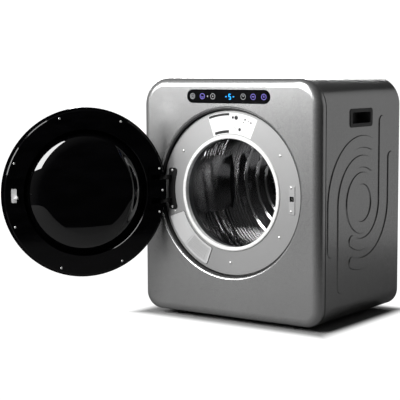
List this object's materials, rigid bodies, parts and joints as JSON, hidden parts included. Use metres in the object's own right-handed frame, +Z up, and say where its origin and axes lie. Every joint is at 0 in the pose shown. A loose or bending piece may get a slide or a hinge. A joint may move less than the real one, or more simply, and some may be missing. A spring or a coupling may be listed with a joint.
{
  "type": "tumble dryer",
  "caption": "Compact front-loading tumble dryer in silver-grey, with a round black hinged door standing open, a steel drum, a pull-out lint filter and a pill-shaped control panel.",
  "frame": {"origin": "on the floor, in the middle between the four feet", "axes": "+Z up, +Y to the back of the cabinet, +X to its right side seen from the front"},
  "size_m": [0.8052, 0.8956, 0.693],
  "materials": {
    "panel_silver": "satin silver lacquer on moulded plastic",
    "cup_grey": "satin grey, moulded",
    "ring_silver": "satin silver lacquer on pressed sheet",
    "wrapper_grey": "satin grey lacquer on pressed sheet",
    "frame_black": "moulded, fine grain",
    "ring_white": "moulded, smooth",
    "inner_grey": "moulded, fine grain",
    "lens_black": "polished",
    "door_black": "polished",
    "window_dark": "smoked, polished",
    "bowl_dark": "smoked, polished",
    "hinge_black": "black powder coat",
    "filter_grey": "moulded, smooth",
    "mesh_grey": "fine woven mesh",
    "drum_steel": "polished stainless",
    "drum_back_steel": "brushed stainless",
    "plain_steel": "turned steel",
    "striker_steel": "nickel plated",
    "screw_steel": "nickel plated",
    "zinc_sheet": "galvanised sheet",
    "duct_plastic": "moulded",
    "white_nylon": "moulded",
    "bearing_cast": "die cast",
    "bush_bronze": "sintered",
    "motor_paint": "dipped lacquer",
    "felt_grey": "pressed felt",
    "foot_rubber": "moulded",
    "belt_rubber": "moulded",
    "board_green": "solder resist",
    "heater_metal": "extruded fins",
    "cut_out_metal": "plain"
  },
  "bodies": {
    "cabinet": {"front_panel": "panel_silver", "handle_cup_right": "cup_grey", "handle_cup_left": "cup_grey", "well_ring": "ring_silver", "latch_plate": "ring_silver", "cabinet_wrapper": "wrapper_grey", "front_frame": "frame_black", "well_trim": "frame_black", "latch_housing": "frame_black", "door_switch": "frame_black", "cord_gland": "frame_black", "porthole_ring": "ring_white", "front_bulkhead": "inner_grey", "control_lens": "lens_black", "hinge_base": "hinge_black", "latch_spring": "plain_steel", "well_screws": "screw_steel", "cabinet_screws": "screw_steel", "rear_panel": "zinc_sheet", "base_pan": "zinc_sheet", "heater_duct": "zinc_sheet", "motor_bracket": "zinc_sheet", "idler_post": "zinc_sheet", "air_duct": "duct_plastic", "fan_housing": "duct_plastic", "exhaust_duct": "duct_plastic", "exhaust_spigot": "duct_plastic", "bearing_housing": "bearing_cast", "bearing_bush": "bush_bronze", "motor_body": "motor_paint", "drum_felt": "felt_grey", "feet": "foot_rubber", "drum_belt": "belt_rubber", "control_board": "board_green", "power_board": "board_green", "heater_element": "heater_metal", "thermostat": "cut_out_metal"},
    "door": {"door_bezel": "door_black", "door_window": "window_dark", "door_inner_ring": "door_black", "door_bowl": "bowl_dark", "striker": "striker_steel", "door_screws": "screw_steel", "hinge_leaf": "hinge_black", "hinge_pin": "plain_steel"},
    "drum": {"drum_shell": "drum_steel", "drum_rear_wall": "drum_back_steel", "drum_lifters": "drum_steel", "drum_shaft": "plain_steel"},
    "rotor": {"motor_shaft": "plain_steel", "motor_pulley": "white_nylon", "blower_wheel": "white_nylon"},
    "filter": {"filter_cover": "filter_grey", "filter_mesh": "mesh_grey"},
    "pawl": {"latch_pawl": "white_nylon"},
    "plunger": {"switch_plunger": "white_nylon"},
    "tensioner": {"idler_arm": "plain_steel"},
    "roller": {"idler_roller": "white_nylon"}
  },
  "joints": [
    {"name": "door_hinge", "type": "hinge", "parent": "cabinet", "child": "door", "pos_m": [-0.228, -0.237, 0.3695], "axis": [0, 0, -1], "range_deg": [-125, 15]},
    {"name": "drum_spin", "type": "hinge", "parent": "cabinet", "child": "drum", "pos_m": [0, 0, 0.3695], "axis": [0, 1, 0], "continuous": true},
    {"name": "motor_spin", "type": "hinge", "parent": "cabinet", "child": "rotor", "pos_m": [-0.19, -0.074, 0.095], "axis": [0, 1, 0], "continuous": true},
    {"name": "filter_slide", "type": "slide", "parent": "cabinet", "child": "filter", "axis": [0, -1, 0], "range_m": [0, 0.075]},
    {"name": "pawl_slide", "type": "slide", "parent": "cabinet", "child": "pawl", "axis": [-1, 0, 0], "range_m": [0, 0.003], "stiffness_N_per_m": 300, "deforming": ["latch_spring"]},
    {"name": "switch_press", "type": "slide", "parent": "cabinet", "child": "plunger", "axis": [0, 1, 0], "range_m": [0, 0.0024], "stiffness_N_per_m": 200},
    {"name": "tensioner_swing", "type": "hinge", "parent": "cabinet", "child": "tensioner", "pos_m": [-0.062, 0.001, 0.05], "axis": [0, -1, 0], "range_deg": [0, 12], "stiffness_Nm_per_rad": 2, "springref_deg": -11.46},
    {"name": "roller_spin", "type": "hinge", "parent": "tensioner", "child": "roller", "pos_m": [-0.12669, 0.013, 0.07816], "axis": [0, 1, 0], "continuous": true}
  ],
  "couplings": [
    {"joint": "motor_spin", "follows": "drum_spin", "ratio": 22.07},
    {"joint": "roller_spin", "follows": "drum_spin", "ratio": -19.523}
  ]
}
